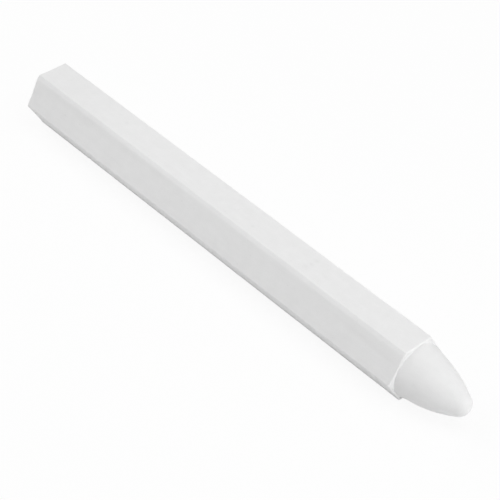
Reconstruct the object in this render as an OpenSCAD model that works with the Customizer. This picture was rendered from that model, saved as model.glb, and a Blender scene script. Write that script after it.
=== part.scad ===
// Hexagonal stick of marking chalk, moulded in one piece.
// The stick lies on one flat. +X points at the nose, +Z is up, and the origin is
// under the middle of the stick, on the surface that it lies on.

/* [Shank] */
// Distance across opposite flats of the six-sided shank
across_flats = 12; // [10:0.5:20]
// Length of the shank from the butt end to the shoulder
shank_length = 106.7; // [50:0.1:160]
// Radius along the six long edges
edge_radius = 0.4; // [0.4:0.1:3]
// Radius rolled round the rims of the butt end and the shoulder
rim_radius = 0.2; // [0.05:0.05:0.35]

/* [Nose] */
// Ledge of bare shoulder between the foot of the nose and the middle of each flat
shoulder_ledge = 0.6; // [0.6:0.05:1.5]
// Length of the nose beyond the shoulder
nose_length = 13.3; // [11:0.1:24]
// Radius of the round tip
tip_radius = 2.4; // [0.5:0.1:2.8]
// Radius of the hollow fillet at the foot of the nose
foot_fillet = 0.2; // [0.05:0.05:0.2]

/* [Hidden] */
$fn = 96;

sides = 6;
sector = 360 / sides;
overall_length = shank_length + nose_length;

// Each long edge is an arc round an axis that runs along the stick. The axes stand on
// a smaller hexagon, and the flats between the arcs are as wide as its sides.
edge_axis_reach = (across_flats / 2 - edge_radius) / cos(sector / 2);
flat_width = edge_axis_reach;

// Round surfaces run this far past the flat ones that they blend into, so that they
// cross them and don't just touch them.
crossing = 0.001;

// The nose is a blunted ogive: its flank is an arc that leaves the foot fillet along
// the stick and runs smoothly into the ball of the tip.
foot_radius = across_flats / 2 - shoulder_ledge;
ball_height = nose_length - foot_fillet - tip_radius;
smooth_flank_radius = (pow(ball_height, 2) + pow(foot_radius, 2) - pow(tip_radius, 2))
    / (2 * (foot_radius - tip_radius));
joint_height = ball_height * (1 + tip_radius / (smooth_flank_radius - tip_radius));

// The flank is drawn to the thousandth of a millimetre below its smooth radius, so
// that the ball just crosses it at the joint.
flank_radius = floor(1000 * smooth_flank_radius) / 1000;

// Lengthwise section of half the shank, from the shank's axis out to the given reach,
// with the rim of its end face rolled over.
module rimmed_profile(reach) {
    translate([0, -crossing])
        square([reach - rim_radius, shank_length]);
    translate([0, rim_radius - crossing]) {
        square([reach, shank_length]);
        translate([reach - rim_radius, 0])
            intersection() {
                circle(rim_radius);
                translate([0, -rim_radius])
                    square([rim_radius, 2 * rim_radius]);
            }
    }
}

// A slab between two opposite flats, standing on the end face.
module slab() {
    rotate([90, 0, 0])
        linear_extrude(flat_width, center = true)
            for (half = [0, 1])
                mirror([half, 0])
                    rimmed_profile(across_flats / 2);
}

// A round post that rounds one long edge, standing on the end face.
module edge_post() {
    rotate_extrude()
        rimmed_profile(edge_radius + crossing);
}

// Half the length of the six-sided shank, standing on an end face: three slabs and six
// posts, trimmed square at the end face and at the middle.
module half_shank() {
    intersection() {
        union() {
            for (pair = [0 : sides / 2 - 1])
                rotate([0, 0, pair * sector])
                    slab();
            for (edge = [0 : sides - 1])
                rotate([0, 0, (edge + 0.5) * sector])
                    translate([edge_axis_reach, 0])
                        edge_post();
        }
        cylinder(r = across_flats, h = shank_length / 2);
    }
}

// The six-sided shank, standing on its butt end.
module shank() {
    for (end = [0, 1])
        translate([0, 0, end * shank_length])
            mirror([0, 0, end])
                half_shank();
}

// Half of the nose's section: a straight foot with its fillet, the flank and the ball.
module nose_section() {
    difference() {
        square([foot_radius + foot_fillet, foot_fillet]);
        translate([foot_radius + foot_fillet, foot_fillet])
            circle(foot_fillet);
    }
    translate([0, foot_fillet]) {
        intersection() {
            translate([foot_radius - flank_radius, 0])
                circle(flank_radius);
            square([foot_radius, joint_height]);
        }
        intersection() {
            translate([0, ball_height])
                circle(tip_radius);
            square([foot_radius, nose_length]);
        }
    }
}

// The nose, standing on the shoulder.
module nose() {
    rotate_extrude()
        nose_section();
}

// The whole stick, laid on a flat.
module chalk_stick() {
    color("whitesmoke")
        translate([-overall_length / 2, 0, across_flats / 2])
            rotate([0, 90, 0]) {
                shank();
                translate([0, 0, shank_length])
                    nose();
            }
}

chalk_stick();
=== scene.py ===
"""A hexagonal stick of white marking chalk, lying on a white table under soft studio light."""

import math

import bpy
import numpy as np
from mathutils import Matrix, Vector


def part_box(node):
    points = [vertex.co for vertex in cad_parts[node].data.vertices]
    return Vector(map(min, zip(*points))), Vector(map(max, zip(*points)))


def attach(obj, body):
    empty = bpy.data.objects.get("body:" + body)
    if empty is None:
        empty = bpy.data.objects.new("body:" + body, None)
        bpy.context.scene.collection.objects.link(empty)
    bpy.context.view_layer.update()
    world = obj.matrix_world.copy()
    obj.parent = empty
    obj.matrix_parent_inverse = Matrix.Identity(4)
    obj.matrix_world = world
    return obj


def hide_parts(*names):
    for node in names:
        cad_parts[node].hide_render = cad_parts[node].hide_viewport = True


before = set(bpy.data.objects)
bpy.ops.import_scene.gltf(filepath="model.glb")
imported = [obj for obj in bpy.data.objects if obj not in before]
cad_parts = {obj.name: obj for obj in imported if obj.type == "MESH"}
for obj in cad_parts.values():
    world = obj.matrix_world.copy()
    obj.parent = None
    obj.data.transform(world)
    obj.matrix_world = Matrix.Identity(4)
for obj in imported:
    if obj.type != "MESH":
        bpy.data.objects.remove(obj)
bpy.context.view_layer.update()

# ---------------------------------------------------------------------------
# Sizes of the stick, in millimetres. The overall ones are read from the frame.
# The stick is shaped round the x axis, and raised to its height at the end.
# ---------------------------------------------------------------------------

METRES = 0.001  # in a millimetre

LOW, HIGH = (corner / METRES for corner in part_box("chalk_stick"))
HALF_FLATS = (HIGH.z - LOW.z) / 2
AXIS_Z = (HIGH.z + LOW.z) / 2
BUTT_X = LOW.x
TIP_X = HIGH.x

NOSE_LENGTH = 13.4
SHOULDER_X = TIP_X - NOSE_LENGTH
SHOULDER_LEDGE = 0.52
FOOT_RADIUS = HALF_FLATS - SHOULDER_LEDGE
FOOT_FILLET = 0.2
TIP_RADIUS = 2.4

# Side 0 is the upper flat, and the others run on from it over -Y. Each edge has the
# number of the side before it.
SIDES = 6
SECTOR = math.tau / SIDES
UPPER, FRONT, FRONT_LOWER = 0, 1, 2
BACK_LOWER, BACK_UPPER = 4, 5

# How far each flat stands off the even hexagon. The stick lies on the fourth.
FLAT_RISES = (0.06, 0.0, 0.01, 0.0, -0.02, 0.02)

# Each edge as arcs that follow one another, as degrees turned, radius and how many steps
# it is drawn in. The first edge has been rubbed to a narrow flat on its lower side, and
# the others are nearly as moulded.
EDGE_STEPS = 10
EDGE_ARCS = (
    ((12, 0.35, 2), (32, 0.12, 4), (2, 18.0, 1), (14, 2.0, 3)),
    ((60, 0.30, EDGE_STEPS),),
    ((60, 0.45, EDGE_STEPS),),
    ((60, 0.45, EDGE_STEPS),),
    ((60, 0.40, EDGE_STEPS),),
    ((60, 0.36, EDGE_STEPS),),
)

# ---------------------------------------------------------------------------
# Smooth shapes and noise, the same on every run
# ---------------------------------------------------------------------------

NOISE_CELLS = 48


def noise(points, cell, seed):
    """Smooth noise from -1 to 1 at each point, with one random value to a cell of that size."""
    table = np.random.default_rng(seed).uniform(-1, 1, (NOISE_CELLS,) * 3)
    place = points / np.asarray(cell)
    base = np.floor(place).astype(int)
    part = place - base
    part = part * part * (3 - 2 * part)
    total = np.zeros(points.shape[:-1])
    for corner in np.ndindex(2, 2, 2):
        weight = np.where(corner, part, 1 - part).prod(axis=-1)
        index = (base + corner) % NOISE_CELLS
        total += weight * table[index[..., 0], index[..., 1], index[..., 2]]
    return total


def bell(distance, width):
    """A smooth hump of height 1 that has fallen to 0.37 at the given distance."""
    return np.exp(-((distance / width) ** 2))


def ramp(value, start, end):
    """Rises smoothly from 0 at the start to 1 at the end."""
    share = np.clip((value - start) / (end - start), 0, 1)
    return share * share * (3 - 2 * share)


# ---------------------------------------------------------------------------
# Outline of the shank
# ---------------------------------------------------------------------------

FLAT_STEPS = 20
LEAST_EDGE = 0.1  # share of an edge's radius that is left however far it is drawn in
COLUMNS = SIDES * (FLAT_STEPS + EDGE_STEPS)
ON_EDGE = np.arange(COLUMNS) % (FLAT_STEPS + EDGE_STEPS) >= FLAT_STEPS


def facing(angle):
    """The unit vector across the stick at each angle from +Y."""
    return np.stack([np.cos(angle), np.sin(angle)], axis=-1)


def side_angle(side):
    return math.pi / 2 + side * SECTOR


def shank_outline(inset=0.0):
    """Points and outward normals round a section of the shank, drawn in by the inset."""
    starts, ends, arcs = [], [], []
    for side in range(SIDES):
        counts = [steps for _, _, steps in EDGE_ARCS[side]]
        turns = np.repeat([turned / steps for turned, _, steps in EDGE_ARCS[side]], counts)
        radii = np.repeat([radius for _, radius, _ in EDGE_ARCS[side]], counts)
        normals = facing(side_angle(side) + np.radians(np.append(0, np.cumsum(turns))))
        radii = np.maximum(radii - inset, LEAST_EDGE * radii)
        steps = radii[:, None] * np.diff(normals, axis=0)
        path = np.vstack([np.zeros(2), np.cumsum(steps, axis=0)])
        before, after = FLAT_RISES[side] - inset, FLAT_RISES[(side + 1) % SIDES] - inset
        reaches = [HALF_FLATS + before, HALF_FLATS + after - normals[-1] @ path[-1]]
        start = np.linalg.solve(normals[[0, -1]], reaches)
        starts.append(start)
        ends.append(start + path[-1])
        arcs.append((start + path[:-1], normals[:-1]))
    points, normals = [], []
    for side in range(SIDES):
        share = np.arange(FLAT_STEPS)[:, None] / FLAT_STEPS
        points.append(ends[side - 1] + (starts[side] - ends[side - 1]) * share)
        normals.append(np.tile(facing(side_angle(side)), (FLAT_STEPS, 1)))
        points.append(arcs[side][0])
        normals.append(arcs[side][1])
    return np.vstack(points), np.vstack(normals)


# ---------------------------------------------------------------------------
# Outline of the nose
# ---------------------------------------------------------------------------

NOSE_STEP = 0.28
FILLET_STEPS = 5
FLANK_SLOPE = math.radians(2.5)  # at the foot

# Where the foot of the nose is fuller than its circle: angle from +Y in degrees, half
# width in degrees and height. The fullness is gone at some height above the shoulder.
FOOT_SWELLS = ((20, 25, 0.20), (75, 24, 0.30), (120, 14, 0.20), (150, 18, 0.28), (215, 30, 0.32))
SWELL_FADE = 3.0

# The nose leans a little towards -Y and down, from some height above the shoulder.
LEAN = np.array([-0.12, -0.09])
LEAN_HEIGHT = 7


def nose_profile():
    """Height above the shoulder, radius and slope of each ring of the nose above its fillet."""
    rows = []
    ball_height = NOSE_LENGTH - TIP_RADIUS
    flank = (ball_height**2 + FOOT_RADIUS**2 - TIP_RADIUS**2) / 2
    flank /= FOOT_RADIUS * math.cos(FLANK_SLOPE) - ball_height * math.sin(FLANK_SLOPE) - TIP_RADIUS
    centre_height = -flank * math.sin(FLANK_SLOPE)
    centre_radius = FOOT_RADIUS - flank * math.cos(FLANK_SLOPE)
    joint = math.asin((ball_height - centre_height) / (flank - TIP_RADIUS))
    start = math.asin((FOOT_FILLET - centre_height) / flank)

    def arc(height, radius, size, first, last):
        """Adds the rings of an arc round the given centre."""
        steps = round(size * (last - first) / NOSE_STEP)
        for turned in np.linspace(first, last, steps, endpoint=False):
            rows.append((height + size * math.sin(turned), radius + size * math.cos(turned), turned))

    arc(centre_height, centre_radius, flank, start, joint)
    arc(ball_height, 0, TIP_RADIUS, joint, math.pi / 2)
    return rows


# ---------------------------------------------------------------------------
# Rings of points from the middle of the butt end to the tip
# ---------------------------------------------------------------------------

SHANK_STEP = 0.27
RIM_STEPS = 5
BUTT_RINGS = 18
SHOULDER_RINGS = 3
EVEN_HEIGHT = 3.0  # above which the nose's points stand at even angles

# The rims are rolled to these radii, and parts of them are rounder or sharper: angle
# from +Y in degrees, half width in degrees and how much is added to the radius.
BUTT_RIM = 0.2
BUTT_WEAR = (215, 30, 0.75)
SHOULDER_RIM = 0.32
SHOULDER_WEAR = ((30, 22, 0.12), (148, 15, -0.12))

# The outline drawn in by this much shows which way each point moves on a rim.
RIM_INSET = 1.0

# Clear face left between the foot of the nose and the rim of the shoulder.
LEAST_LEDGE = 0.02

# One corner of the butt end was left standing proud: its place across the stick, how
# far across and along the stick this reaches, and its height.
PROUD_CORNER = np.array([-3.3, 6.0])
PROUD_WIDTH = 2.2
PROUD_LENGTH = 1.5
PROUD_HEIGHT = 0.24


def hump(angle, middle, width, height):
    """A smooth hump round an angle, where the middle and the half width are in degrees."""
    away = np.degrees(np.angle(np.exp(1j * (angle - math.radians(middle)))))
    return height * bell(away, width)


def foot_swell(angle):
    """How much fuller than a circle the nose is at its foot, at each angle."""
    return sum(hump(angle, *swell) for swell in FOOT_SWELLS)


def stick_rings():
    """Points and normals of every ring of the stick, as arrays of rings by points by xyz."""
    outline, across = shank_outline()
    inward = (shank_outline(RIM_INSET)[0] - outline) / RIM_INSET
    uneven = np.unwrap(np.arctan2(outline[:, 1], outline[:, 0]))
    rings, outward = [], []

    def ring(x, points, slope, normals):
        """Adds a ring whose normals lean towards the tip by the slope."""
        rings.append(np.column_stack([np.broadcast_to(x, COLUMNS), points]))
        leaning = np.full(COLUMNS, math.sin(slope))
        outward.append(np.column_stack([leaning, normals * math.cos(slope)]))

    def rim(end, direction, radius, turns):
        """Rolls the rim over, where direction is -1 at the butt end and 1 at the shoulder."""
        for turned in turns:
            inset = radius * (1 - math.cos(turned))
            x = end - direction * radius * (1 - math.sin(turned))
            ring(x, outline + inward * inset[:, None], direction * turned, across)

    turns = np.linspace(0, math.pi / 2, RIM_STEPS + 1)
    butt_rim = BUTT_RIM + hump(uneven, *BUTT_WEAR)
    face = outline + inward * butt_rim[:, None]
    for step in range(1, BUTT_RINGS):
        ring(BUTT_X, face * step / BUTT_RINGS, -math.pi / 2, across)
    rim(BUTT_X, -1, butt_rim, turns[::-1])
    shoulder_rim = SHOULDER_RIM + sum(hump(uneven, *wear) for wear in SHOULDER_WEAR)
    start, end = BUTT_X + butt_rim, SHOULDER_X - shoulder_rim
    shank_steps = round((SHOULDER_X - BUTT_X) / SHANK_STEP)
    for step in range(1, shank_steps):
        ring(start + (end - start) * step / shank_steps, outline, 0, across)
    rim(SHOULDER_X, 1, shoulder_rim, turns)

    # The nose's foot and its fillet keep clear of the rim, and grow where they can.
    face = outline + inward * shoulder_rim[:, None]
    uneven = np.unwrap(np.arctan2(face[:, 1], face[:, 0]))
    room = np.hypot(*face.T) - LEAST_LEDGE - FOOT_RADIUS
    fuller = np.clip(foot_swell(uneven), 0, room)
    fillet = np.clip(room - fuller, 0, FOOT_FILLET)
    foot = facing(uneven) * (FOOT_RADIUS + fuller + fillet)[:, None]
    for step in range(1, SHOULDER_RINGS):
        ring(SHOULDER_X, face + (foot - face) * step / SHOULDER_RINGS, math.pi / 2, facing(uneven))
    profile = nose_profile()
    above = profile[0][1]
    for turned in np.linspace(0, math.pi / 2, FILLET_STEPS, endpoint=False):
        height = FOOT_FILLET * (1 - math.cos(turned))
        drop = (FOOT_RADIUS - above) * height / FOOT_FILLET
        radius = FOOT_RADIUS - drop + fuller + fillet * (1 - math.sin(turned))
        points = facing(uneven) * radius[:, None]
        ring(SHOULDER_X + height, points, math.pi / 2 - turned, facing(uneven))
    even = uneven[0] + np.arange(COLUMNS) * math.tau / COLUMNS
    for height, radius, slope in profile:
        blend = ramp(height, FOOT_FILLET, EVEN_HEIGHT)
        angle = uneven + (even - uneven) * blend
        fading = fuller * (1 - ramp(height, FOOT_FILLET, SWELL_FADE))
        points = facing(angle) * (radius + fading)[:, None] + LEAN * ramp(height, 0, LEAN_HEIGHT)
        ring(SHOULDER_X + height, points, slope, facing(angle))

    rings, outward = np.array(rings), np.array(outward)
    reach = bell(np.linalg.norm(rings[..., 1:] - PROUD_CORNER, axis=-1), PROUD_WIDTH)
    rings[..., 0] -= PROUD_HEIGHT * reach * (1 - ramp(rings[..., 0], BUTT_X, BUTT_X + PROUD_LENGTH))
    return rings, outward


# ---------------------------------------------------------------------------
# Relief: how far the moulded and handled surface lies from the clean form
# ---------------------------------------------------------------------------

# Long patches on the flats: side, distance of the middle line from the flat's own
# towards the next side, half width, strength, and where along the stick the patch is
# strongest, with its half length. The hollows are shallow ones that the mould left, and
# their strength is their depth.
HOLLOWS = (
    (FRONT, -0.5, 0.9, 0.045, 38, 10),
    (FRONT, -1.3, 1.1, 0.04, -42, 22),
    (UPPER, 0.8, 1.6, 0.03, -12, 16),
    (BACK_LOWER, 0.5, 1.5, 0.04, 20, 24),
    (BACK_UPPER, -0.8, 1.3, 0.04, -15, 26),
)

# Faint stains and painted shade, whose strength is how much darker they are. The spots on the upper
# flat and the two short streaks near the shoulder on the front flat are stains; the band under the
# upper edge of the front flat towards the butt and the lower front flat near both ends are painted
# shade.
STAINS_AND_SHADE = (
    (UPPER, -2.7, 0.5, 0.030, 45.7, 0.7),
    (UPPER, -1.5, 0.3, 0.045, 18.6, 0.6),
    (UPPER, -0.1, 0.3, 0.040, 18.6, 0.5),
    (UPPER, 1.1, 0.3, 0.045, 18.2, 0.5),
    (UPPER, 0.3, 0.3, 0.035, 22.6, 0.5),
    (UPPER, 1.1, 0.3, 0.040, 3.5, 0.4),
    (UPPER, -0.6, 0.3, 0.045, -36.2, 0.4),
    (FRONT, -1.2, 0.5, 0.010, 35, 6),
    (FRONT, -0.8, 0.4, 0.014, 43, 3),
    (FRONT, -2.5, 0.7, 0.015, -38, 16),
    (FRONT_LOWER, 0, 4.0, 0.045, 45, 14),
    (FRONT_LOWER, 0, 4.0, 0.020, -58, 8),
)

# Near the butt the edges are hardly rubbed and carry little painted highlight: what is left of
# the rubbing there, and where along the stick it sets in.
LEAST_RUB = 0.1
RUB_START = (-45, -28)

# An edge is fully rubbed where the cosine of its turn from the nearest flat has fallen
# this far below 1, and the rubbing is patchy: size of a patch, seed and unevenness.
FULL_RUB = 0.05
RUB_PATCH = 1.1
RUB_SEED = 21
RUB_UNEVENNESS = 0.35

# Painted shade: the stick is painted a little darker at its butt end, and this fades out along the
# stick.
BUTT_PAINTED_SHADE = 0.022
BUTT_SHADE_LENGTH = 32

# A patch fades out where the surface turns away from its flat, the faster the higher
# this power is.
PATCH_POWER = 8

# Unevenness from coarse to fine: height, size of the lumps along each axis, and seed.
UNEVENNESS = (
    (0.022, (14, 5, 5), 11),
    (0.010, (9, 1.3, 1.3), 12),
    (0.010, 2.4, 13),
    (0.0035, 0.8, 14),
)

# Dents in the flats and the nose, and nicks mostly in the long edges: how many there
# are, and the least and greatest of their half widths and depths.
DENTS = (70, (0.3, 0.9), (0.01, 0.04))
NICKS = (26, (0.25, 0.6), (0.03, 0.09))
DENT_SEED = 7
DIMPLE_REACH = 2.5  # half widths along the stick beyond which a dimple is left out


def patches(rows, points, outward):
    """Total strength at each point of the long patches in the rows."""
    total = np.zeros(points.shape[:-1])
    for side, middle, width, strength, place, length in rows:
        angle = side_angle(side)
        normal = np.array([0, math.cos(angle), math.sin(angle)])
        along = np.array([0, -math.sin(angle), math.cos(angle)])
        on_side = np.clip(outward @ normal, 0, 1) ** PATCH_POWER
        patch = bell(points @ along - middle, width) * bell(points[..., 0] - place, length)
        total += strength * on_side * patch
    return total


def dimples(draws, points, may_lie, count, widths, depths):
    """Depth at each point of round dimples, scattered over the columns where they may lie."""
    grounds = points[:, may_lie].reshape(-1, 3)
    places = grounds[draws.integers(0, len(grounds), count)]
    widths = draws.uniform(*widths, count)
    depths = draws.uniform(*depths, count)
    total = np.zeros(points.shape[:-1])
    for place, width, depth in zip(places, widths, depths):
        near = np.abs(points[:, 0, 0] - place[0]) < DIMPLE_REACH * width
        total[near] += depth * bell(np.linalg.norm(points[near] - place, axis=-1), width)
    return total


def relief(points, outward):
    """Distance of the real surface from the clean form, along each point's normal."""
    draws = np.random.default_rng(DENT_SEED)
    uneven = sum(height * noise(points, size, seed) for height, size, seed in UNEVENNESS)
    dents = dimples(draws, points, ~ON_EDGE, *DENTS)
    nicks = dimples(draws, points, ON_EDGE, *NICKS)
    return uneven - patches(HOLLOWS, points, outward) - dents - nicks


def stain_and_shade(points, outward):
    """How much darker each point is, for its stains and for painted shade at the butt end and on the
    front flats.
    """
    # Painted shade: darker towards the butt end.
    butt_shade = BUTT_PAINTED_SHADE * (1 - ramp(points[..., 0], BUTT_X, BUTT_X + BUTT_SHADE_LENGTH))
    return butt_shade + patches(STAINS_AND_SHADE, points, outward)


def rub_and_edge_highlight(points, outward):
    """How far handling has polished each point and how much painted highlight lightens it, from 0 on
    the flats to 1 along the edges.
    """
    angles = side_angle(np.arange(SIDES))
    flats = np.hstack([np.zeros((SIDES, 1)), facing(angles)])
    plain = np.vstack([flats, [[1, 0, 0], [-1, 0, 0]]])
    turned = 1 - (outward @ plain.T).max(axis=-1)
    patchy = 1 - RUB_UNEVENNESS + RUB_UNEVENNESS * noise(points, RUB_PATCH, RUB_SEED)
    along = LEAST_RUB + (1 - LEAST_RUB) * ramp(points[..., 0], *RUB_START)
    return ramp(turned, 0, FULL_RUB) * patchy * along * (points[..., 0] <= SHOULDER_X)


# ---------------------------------------------------------------------------
# Mesh
# ---------------------------------------------------------------------------


def chalk_mesh():
    """The finished mesh: the rings joined by four-sided faces, with a fan at each end."""
    points, outward = stick_rings()
    # The rubbing tint is partly polish and partly a painted highlight along the edges.
    tints = {"rub_and_edge_highlight": rub_and_edge_highlight(points, outward), "stain_and_shade": stain_and_shade(points, outward)}
    points = points + outward * relief(points, outward)[..., None]
    points[..., 2] = np.maximum(points[..., 2], -HALF_FLATS)
    butt_middle = points[0].mean(axis=0)
    tip = points[-1].mean(axis=0)
    tip[0] = TIP_X
    vertices = np.vstack([points.reshape(-1, 3), butt_middle, tip])
    vertices[:, 2] += AXIS_Z
    rings = len(points)
    butt_index, tip_index = rings * COLUMNS, rings * COLUMNS + 1
    around = np.arange(COLUMNS)
    after = (around + 1) % COLUMNS
    faces = []
    for row in range(rings - 1):
        near, far = row * COLUMNS, (row + 1) * COLUMNS
        corners = [near + around, far + around, far + after, near + after]
        faces.extend(np.stack(corners, axis=1).tolist())
    last = (rings - 1) * COLUMNS
    faces.extend([butt_index, int(a), int(b)] for a, b in zip(around, after))
    faces.extend([tip_index, int(last + b), int(last + a)] for a, b in zip(around, after))
    mesh = bpy.data.meshes.new("chalk")
    mesh.from_pydata((vertices * METRES).tolist(), [], faces)
    mesh.polygons.foreach_set("use_smooth", np.ones(len(mesh.polygons), bool))
    for name, values in tints.items():
        layer = mesh.attributes.new(name, "FLOAT", "POINT")
        layer.data.foreach_set("value", np.append(values.ravel(), [0, 0]))
    mesh.update()
    return mesh


# ---------------------------------------------------------------------------
# Material
# ---------------------------------------------------------------------------

CHALK_SHADE = 0.84
CHALK_ROUGHNESS = 0.88
CHALK_SPECULAR = 0.4
STREAK_STRETCH = 0.09  # lengthwise scale of the streaks against their scale across
EMPTY_CELLS = 0.55  # share of the cells of scattered spots that hold none

# What each pattern adds to the shade, the roughness and the height in millimetres. The
# first rows swing as far down as up, and the second ones only go one way.
SHADE_SWINGS = {"mottle": 0.05, "streak": 0.03, "grain": 0.045}
# The lighter shade that rubbing adds along the edges is partly a painted highlight.
SHADE_MARKS = {"rub_and_edge_highlight": 0.03, "stain_and_shade": -1, "specks": -0.08, "pinholes": -0.08}
ROUGHNESS_SWINGS = {"grain": 0.16}
ROUGHNESS_MARKS = {"rub_and_edge_highlight": -0.08}
HEIGHT_SWINGS = {"grain": 0.012, "mottle": 0.01}
HEIGHT_MARKS = {"pinholes": -0.03}


def add_node(tree, kind, inputs=None, **settings):
    """A new node with its settings, and each named input set to a value or linked to a socket."""
    node = tree.nodes.new(kind)
    for name, value in settings.items():
        setattr(node, name, value)
    for name, value in (inputs or {}).items():
        if isinstance(value, bpy.types.NodeSocket):
            tree.links.new(value, node.inputs[name])
        else:
            node.inputs[name].default_value = value
    return node


def weighed(tree, patterns, base, swings, marks):
    """The base plus each pattern times its weight, where swings run round a half and marks from 0."""
    total = base - sum(weight / 2 for weight in swings.values())
    for name, weight in (*swings.items(), *marks.items()):
        step = add_node(tree, "ShaderNodeMath", operation="MULTIPLY_ADD")
        tree.links.new(patterns[name], step.inputs[0])
        step.inputs[1].default_value = weight
        if isinstance(total, bpy.types.NodeSocket):
            tree.links.new(total, step.inputs[2])
        else:
            step.inputs[2].default_value = total
        total = step.outputs["Value"]
    return total


def spots(tree, place, scale, size):
    """Small round spots of mixed sizes, one to a cell: 1 in the middle of each, 0 between."""
    cells = add_node(tree, "ShaderNodeTexVoronoi", {"Vector": place, "Scale": scale})
    chance = add_node(tree, "ShaderNodeSeparateColor", {"Color": cells.outputs["Color"]})
    reach = add_node(tree, "ShaderNodeMapRange", {
        "Value": chance.outputs["Red"],
        "From Min": EMPTY_CELLS,
        "From Max": 1,
        "To Min": 0.001,
        "To Max": size * scale,
    })
    spot = add_node(tree, "ShaderNodeMapRange", {
        "Value": cells.outputs["Distance"],
        "From Min": reach.outputs["Result"],
        "From Max": 0,
        "To Min": 0,
        "To Max": 1,
    }, interpolation_type="SMOOTHSTEP")
    return spot.outputs["Result"]


def chalk_material():
    """Dry matte chalk: near white, faintly mottled and streaked, with a fine grain and pinholes."""
    material = bpy.data.materials.new("chalk")
    material.use_nodes = True
    tree = material.node_tree
    shader = tree.nodes["Principled BSDF"]
    coordinates = add_node(tree, "ShaderNodeTexCoord")
    place = add_node(tree, "ShaderNodeMapping", {
        "Vector": coordinates.outputs["Object"], "Scale": (1 / METRES,) * 3,
    }).outputs["Vector"]
    stretched = add_node(tree, "ShaderNodeMapping", {
        "Vector": place, "Scale": (STREAK_STRETCH, 1, 1),
    }).outputs["Vector"]

    def cloud(vector, scale, detail):
        return add_node(tree, "ShaderNodeTexNoise", {
            "Vector": vector, "Scale": scale, "Detail": detail,
        }).outputs["Fac"]

    def painted(name):
        return add_node(tree, "ShaderNodeAttribute", attribute_name=name).outputs["Fac"]

    patterns = {
        "mottle": cloud(place, 0.42, 3),
        "streak": cloud(stretched, 1.1, 2),
        "grain": cloud(place, 4.5, 3),
        "specks": spots(tree, place, 0.55, 0.3),
        "pinholes": spots(tree, place, 1.3, 0.16),
        # Lighter along the edges, partly from polish and partly as a painted highlight.
        "rub_and_edge_highlight": painted("rub_and_edge_highlight"),
        # Darker marks: stains, with painted shade near the butt and on the front flats.
        "stain_and_shade": painted("stain_and_shade"),
    }
    shade = weighed(tree, patterns, CHALK_SHADE, SHADE_SWINGS, SHADE_MARKS)
    tree.links.new(shade, shader.inputs["Base Color"])
    roughness = weighed(tree, patterns, CHALK_ROUGHNESS, ROUGHNESS_SWINGS, ROUGHNESS_MARKS)
    tree.links.new(roughness, shader.inputs["Roughness"])
    height = weighed(tree, patterns, 0, HEIGHT_SWINGS, HEIGHT_MARKS)
    bump = add_node(tree, "ShaderNodeBump", {"Height": height, "Distance": METRES, "Strength": 1})
    tree.links.new(bump.outputs["Normal"], shader.inputs["Normal"])
    shader.inputs["Specular IOR Level"].default_value = CHALK_SPECULAR
    return material


# ---------------------------------------------------------------------------
# Stage, lights and camera
# ---------------------------------------------------------------------------

FLOOR_PAINT = (0.92, 0.92, 0.92, 1)
FLOOR_WHITENESS = 0.9
WORLD_LEVEL = 0.26


def seen_directly(tree):
    """1 for rays from the camera and for those that a gloss or a glass sends on, 0 for the light."""
    path = add_node(tree, "ShaderNodeLightPath")
    seen = path.outputs["Is Camera Ray"]
    for name in ("Is Glossy Ray", "Is Transmission Ray"):
        either = add_node(tree, "ShaderNodeMath", operation="MAXIMUM")
        tree.links.new(seen, either.inputs[0])
        tree.links.new(path.outputs[name], either.inputs[1])
        seen = either.outputs["Value"]
    return seen


def make_floor():
    """A white table top. Seen directly it is nearly white, and it keeps part of the shadow."""
    bpy.ops.mesh.primitive_plane_add(size=6, location=(0, 0, LOW.z * METRES))
    floor = bpy.context.object
    floor.name = "floor"
    material = bpy.data.materials.new("floor")
    material.use_nodes = True
    tree = material.node_tree
    tree.nodes.clear()
    paint = add_node(tree, "ShaderNodeBsdfDiffuse", {"Color": FLOOR_PAINT})
    glow = add_node(tree, "ShaderNodeEmission", {"Strength": 1})
    share = add_node(tree, "ShaderNodeMapRange", {
        "Value": seen_directly(tree), "To Max": FLOOR_WHITENESS,
    })
    shown = add_node(tree, "ShaderNodeMixShader", {"Fac": share.outputs["Result"]})
    tree.links.new(paint.outputs["BSDF"], shown.inputs[1])
    tree.links.new(glow.outputs["Emission"], shown.inputs[2])
    add_node(tree, "ShaderNodeOutputMaterial", {"Surface": shown.outputs["Shader"]})
    floor.data.materials.append(material)


def make_world():
    """An even pale room, which the camera sees as white."""
    world = bpy.data.worlds.new("studio")
    bpy.context.scene.world = world
    world.use_nodes = True
    tree = world.node_tree
    background = tree.nodes["Background"]
    background.inputs["Color"].default_value = (1, 1, 1, 1)
    level = add_node(tree, "ShaderNodeMapRange", {
        "Value": seen_directly(tree), "To Min": WORLD_LEVEL, "To Max": 1,
    })
    tree.links.new(level.outputs["Result"], background.inputs["Strength"])


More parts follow.
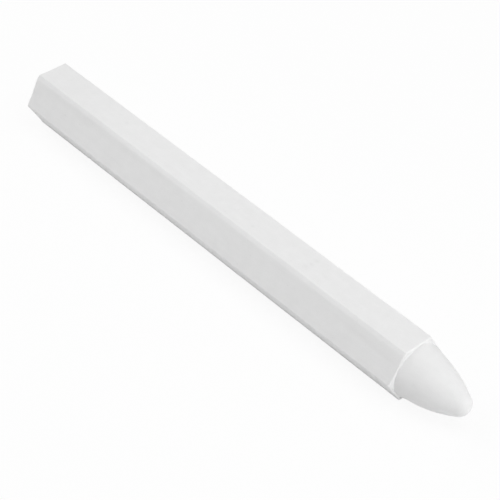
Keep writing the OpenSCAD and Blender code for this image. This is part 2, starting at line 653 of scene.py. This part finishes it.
# Name, place in metres, width in metres and power in watts of each soft lamp. Each looks
# at the middle of the stick.
LAMPS = (
    ("top", (0.2, 0.0, 0.57), 0.45, 1.45),
    ("front", (0.58, 0.0, 0.12), 0.24, 0.86),
    ("rear", (-0.5, 0.0, 0.33), 0.45, 0.86),
    ("left", (-0.27, -0.27, 0.47), 0.45, 0.84),
    ("side", (0.33, 0.44, 0.25), 0.45, 0.56),
    ("low", (0.42, -0.42, 0.06), 0.45, 0.06),
)


def make_lamps():
    for name, place, width, power in LAMPS:
        data = bpy.data.lights.new(name, "AREA")
        data.shape = "SQUARE"
        data.size = width
        data.energy = power
        lamp = bpy.data.objects.new(name, data)
        lamp.location = place
        aim = Vector((0, 0, AXIS_Z * METRES)) - lamp.location
        lamp.rotation_euler = aim.to_track_quat("-Z", "Y").to_euler()
        bpy.context.scene.collection.objects.link(lamp)


# The point that the camera looks at and its distance, in millimetres, its angles in
# degrees, with the azimuth from -Y towards +X, and its lens.
CAMERA_TARGET = (3.372, -1.415, 6.0)
CAMERA_DISTANCE = 374.036
CAMERA_AZIMUTH = 46.024
CAMERA_ELEVATION = 42.497
CAMERA_ROLL = 2.488
CAMERA_LENS = 139.259
SENSOR_WIDTH = 36


def make_camera():
    data = bpy.data.cameras.new("camera")
    data.sensor_width = SENSOR_WIDTH
    data.lens = CAMERA_LENS
    data.clip_start = 0.01
    camera = bpy.data.objects.new("camera", data)
    azimuth, elevation = math.radians(CAMERA_AZIMUTH), math.radians(CAMERA_ELEVATION)
    back = Vector((
        math.sin(azimuth) * math.cos(elevation),
        -math.cos(azimuth) * math.cos(elevation),
        math.sin(elevation),
    ))
    turn = back.to_track_quat("Z", "Y").to_matrix().to_4x4()
    roll = Matrix.Rotation(math.radians(CAMERA_ROLL), 4, "Z")
    place = Matrix.Translation((Vector(CAMERA_TARGET) + back * CAMERA_DISTANCE) * METRES)
    camera.matrix_world = place @ turn @ roll
    bpy.context.scene.collection.objects.link(camera)
    bpy.context.scene.camera = camera


# ---------------------------------------------------------------------------
# Scene
# ---------------------------------------------------------------------------

stick = bpy.data.objects.new("moulded_chalk", chalk_mesh())
stick.data.materials.append(chalk_material())
bpy.context.scene.collection.objects.link(stick)
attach(stick, "root")
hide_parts("chalk_stick")

make_floor()
make_world()
make_lamps()
make_camera()
bpy.context.scene.view_settings.view_transform = "Standard"
